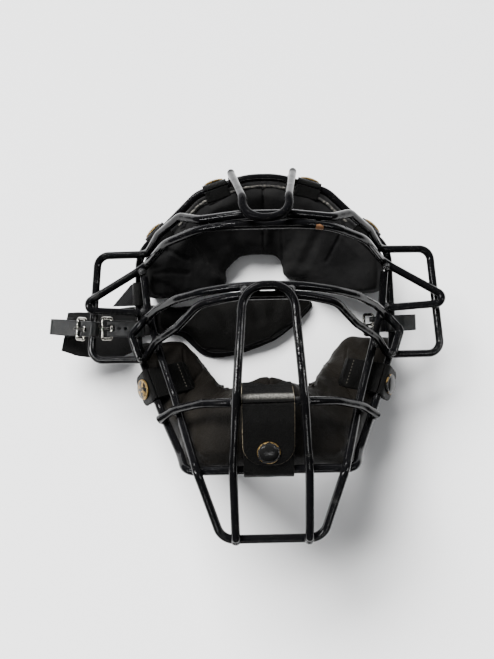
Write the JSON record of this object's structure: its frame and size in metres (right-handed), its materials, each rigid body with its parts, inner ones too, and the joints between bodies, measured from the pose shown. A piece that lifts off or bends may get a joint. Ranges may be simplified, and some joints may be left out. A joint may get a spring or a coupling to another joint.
{
  "type": "umpire face mask",
  "caption": "Welded wire face cage with ear guards and throat guard, leather pads on snap tabs and a buckled head harness.",
  "frame": {"origin": "on the floor plane, in the middle of the head opening, mask lying on its back", "axes": "+Z out of the front of the cage, +Y towards the forehead, +X towards the right of the picture; z = 0 is the floor the pads lie on"},
  "size_m": [0.3047, 0.2672, 0.1168],
  "materials": {
    "coated_wire": "gloss dip coating",
    "pad_fabric": "matt woven cover",
    "pad_leather": "smooth satin",
    "tab_leather": "pebbled satin",
    "snap_brass": "black enamel worn to brass",
    "strap_rubber": "rubbery coated strap",
    "buckle_steel": "bright plated wire",
    "elastic": "ribbed elastic webbing",
    "harness_leather": "smooth satin"
  },
  "bodies": {
    "cage": {"rear_ring": "coated_wire", "brow_bar": "coated_wire", "ear_guard_loop": "coated_wire", "eye_bar": "coated_wire", "centre_loop": "coated_wire", "throat_bar": "coated_wire", "chin_bar": "coated_wire", "top_loop": "coated_wire", "weld_beads": "coated_wire", "forehead_pad": "pad_fabric", "chin_pad": "pad_leather", "forehead_piping": "pad_fabric", "forehead_tabs": "tab_leather", "cheek_tabs": "tab_leather", "chin_tab": "tab_leather", "snap_studs": "snap_brass", "side_strap_left": "strap_rubber", "inner_buckle_left": "buckle_steel", "elastic_left": "elastic", "elastic_strip_left": "tab_leather"},
    "chin_flap": {"chin_flap": "tab_leather", "chin_cap": "snap_brass"},
    "cheek_flap_right": {"cheek_flap_right": "tab_leather", "cheek_cap_right": "snap_brass"},
    "cheek_flap_left": {"cheek_flap_left": "tab_leather", "cheek_cap_left": "snap_brass"},
    "brow_flap_right": {"brow_flap_right": "tab_leather", "brow_cap_right": "snap_brass"},
    "brow_flap_left": {"brow_flap_left": "tab_leather", "brow_cap_left": "snap_brass"},
    "temple_flap_right": {"temple_flap_right": "tab_leather", "temple_cap_right": "snap_brass"},
    "temple_flap_left": {"temple_flap_left": "tab_leather", "temple_cap_left": "snap_brass"},
    "harness": {"ear_loop_left": "strap_rubber", "outer_buckle_left": "buckle_steel", "strap_tail_left": "strap_rubber", "harness_panel": "harness_leather", "keeper_left": "harness_leather", "rear_head_pad": "harness_leather", "rear_backing": "pad_fabric"},
    "outer_prong": {"outer_prong_left": "buckle_steel"},
    "inner_prong": {"inner_prong_left": "buckle_steel"},
    "right_strap": {"strap_right": "strap_rubber", "buckle_right": "buckle_steel"},
    "right_prong": {"prong_right": "buckle_steel"}
  },
  "joints": [
    {"name": "chin_flap_fold", "type": "hinge", "parent": "cage", "child": "chin_flap", "pos_m": [-0.0015, -0.05172, 0.1127], "axis": [-1, 0, 0], "range_deg": [0, 80]},
    {"name": "cheek_flap_right_fold", "type": "hinge", "parent": "cage", "child": "cheek_flap_right", "pos_m": [0.08514, -0.04266, 0.05212], "axis": [-0.371, -0.8448, 0.3857], "range_deg": [0, 80]},
    {"name": "cheek_flap_left_fold", "type": "hinge", "parent": "cage", "child": "cheek_flap_left", "pos_m": [-0.08514, -0.04266, 0.05212], "axis": [-0.371, 0.8448, -0.3857], "range_deg": [0, 80]},
    {"name": "brow_flap_right_fold", "type": "hinge", "parent": "cage", "child": "brow_flap_right", "pos_m": [0.0356, 0.1044, 0.04057], "axis": [0.9536, -0.3011, 0], "range_deg": [0, 80]},
    {"name": "brow_flap_left_fold", "type": "hinge", "parent": "cage", "child": "brow_flap_left", "pos_m": [-0.0356, 0.1044, 0.04057], "axis": [0.9536, 0.3011, 0], "range_deg": [0, 80]},
    {"name": "temple_flap_right_fold", "type": "hinge", "parent": "cage", "child": "temple_flap_right", "pos_m": [0.08069, 0.06945, 0.04057], "axis": [0.7148, -0.6993, 0], "range_deg": [0, 80]},
    {"name": "temple_flap_left_fold", "type": "hinge", "parent": "cage", "child": "temple_flap_left", "pos_m": [-0.08069, 0.06945, 0.04057], "axis": [0.7148, 0.6993, 0], "range_deg": [0, 80]},
    {"name": "harness_swing", "type": "hinge", "parent": "cage", "child": "harness", "pos_m": [-0.1314, 0, 0.0419], "axis": [0.0937, 0.9956, 0], "range_deg": [0, 70]},
    {"name": "outer_prong_swing", "type": "hinge", "parent": "harness", "child": "outer_prong", "pos_m": [-0.13798, -0.00159, 0.0415], "axis": [0.0937, 0.9956, 0], "range_deg": [0, 50]},
    {"name": "inner_prong_swing", "type": "hinge", "parent": "cage", "child": "inner_prong", "pos_m": [-0.11815, -0.00149, 0.0382], "axis": [0.0338, 0.9994, 0], "range_deg": [0, 60]},
    {"name": "right_strap_swing", "type": "hinge", "parent": "cage", "child": "right_strap", "pos_m": [0.09797, -0.00217, 0.036], "axis": [0.0338, -0.9994, 0], "range_deg": [-20, 20]},
    {"name": "right_prong_swing", "type": "hinge", "parent": "right_strap", "child": "right_prong", "pos_m": [0.08478, -0.00261, 0.0314], "axis": [-0.0338, 0.9994, 0], "range_deg": [0, 50]}
  ]
}
